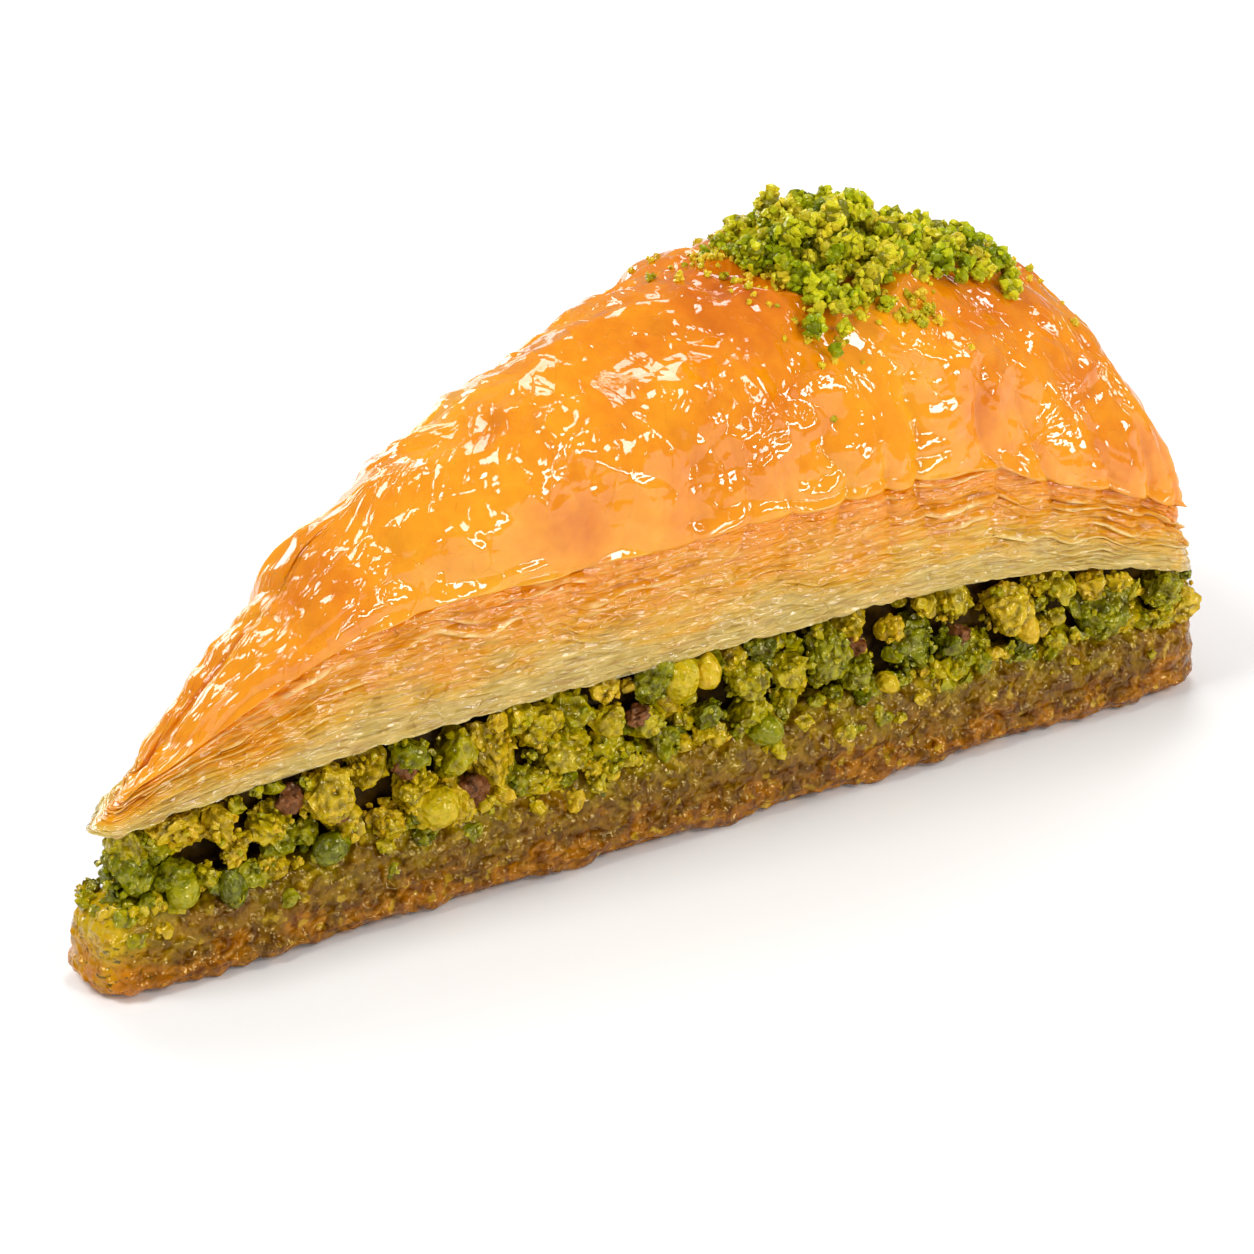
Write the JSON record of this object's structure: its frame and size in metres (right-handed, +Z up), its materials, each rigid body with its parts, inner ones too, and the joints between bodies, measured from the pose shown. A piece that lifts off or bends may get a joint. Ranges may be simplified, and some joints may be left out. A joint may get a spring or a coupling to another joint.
{
  "type": "wedge of pistachio baklava",
  "caption": "Tapered pastry wedge: a syrup-soaked base, a layer of chopped pistachio, a domed lid of crisp thin leaves and a small heap of ground pistachio on top.",
  "frame": {"origin": "middle of the footprint's bounding box, on the plane the wedge rests on", "axes": "+Z up from the resting face; +X from the wedge's point towards its rim; +Y across the wedge"},
  "size_m": [0.143, 0.0634, 0.062],
  "materials": {
    "soaked_pastry": "olive-brown, grainy and wet with syrup, amber along the foot",
    "chopped_pistachio": "yellow-green to deep green chopped nuts, some purple-brown skin, lightly glazed",
    "crisp_pastry": "golden-orange glazed crust, creased, paling to cream along the cut leaves",
    "ground_pistachio": "bright yellow-green ground nuts in soft clumps"
  },
  "bodies": {
    "root": {"base_pastry": "soaked_pastry", "pistachio_filling": "chopped_pistachio", "top_pastry": "crisp_pastry", "pistachio_heap": "ground_pistachio"}
  },
  "joints": []
}
